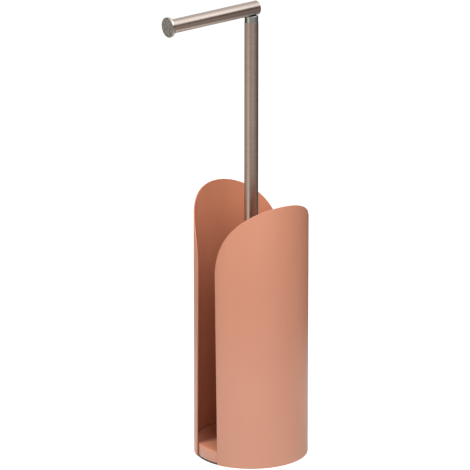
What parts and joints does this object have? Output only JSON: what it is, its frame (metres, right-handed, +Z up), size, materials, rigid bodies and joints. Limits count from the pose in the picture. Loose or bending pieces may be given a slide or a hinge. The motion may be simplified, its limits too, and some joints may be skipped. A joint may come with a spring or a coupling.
{
  "type": "toilet roll holder",
  "caption": "Free-standing toilet roll holder: folding arm on an upright pole for the roll in use, and two rolled sheet panels on a weighted base that keep the spare rolls.",
  "frame": {"origin": "middle of the rubber pad's underside, on the pole's axis at floor level", "axes": "+Z up along the pole; the front slot and the arm point towards -Y; +X is the right panel as seen from behind the arm's free end"},
  "size_m": [0.13, 0.1783, 0.5303],
  "materials": {
    "terracotta_paint": "matt powder coat",
    "brushed_steel": "satin, ground round the tube",
    "chrome": "polished chrome plate",
    "hinge_steel": "turned and ground",
    "zinc_steel": "zinc plated",
    "rubber": "matt",
    "cast_iron": "as cast"
  },
  "bodies": {
    "stand": {"base_pad": "rubber", "base_ballast": "cast_iron", "base_cover": "terracotta_paint", "left_panel": "terracotta_paint", "right_panel": "terracotta_paint", "panel_screws": "zinc_steel", "pole_tube": "brushed_steel", "pole_foot_plug": "zinc_steel", "pole_bolt": "zinc_steel", "pole_washer": "zinc_steel", "pole_split_washer": "zinc_steel", "hinge_fork": "chrome", "hinge_pin": "hinge_steel", "hinge_washers": "hinge_steel"},
    "arm": {"hinge_tongue": "hinge_steel", "tongue_dowel": "hinge_steel", "arm_tube": "brushed_steel", "arm_end_cap": "brushed_steel", "arm_rear_plug": "brushed_steel"}
  },
  "joints": [
    {"name": "arm_fold", "type": "hinge", "parent": "stand", "child": "arm", "pos_m": [0, 0.00375, 0.5096], "axis": [-1, 0, 0], "range_deg": [0, 91.7]}
  ]
}
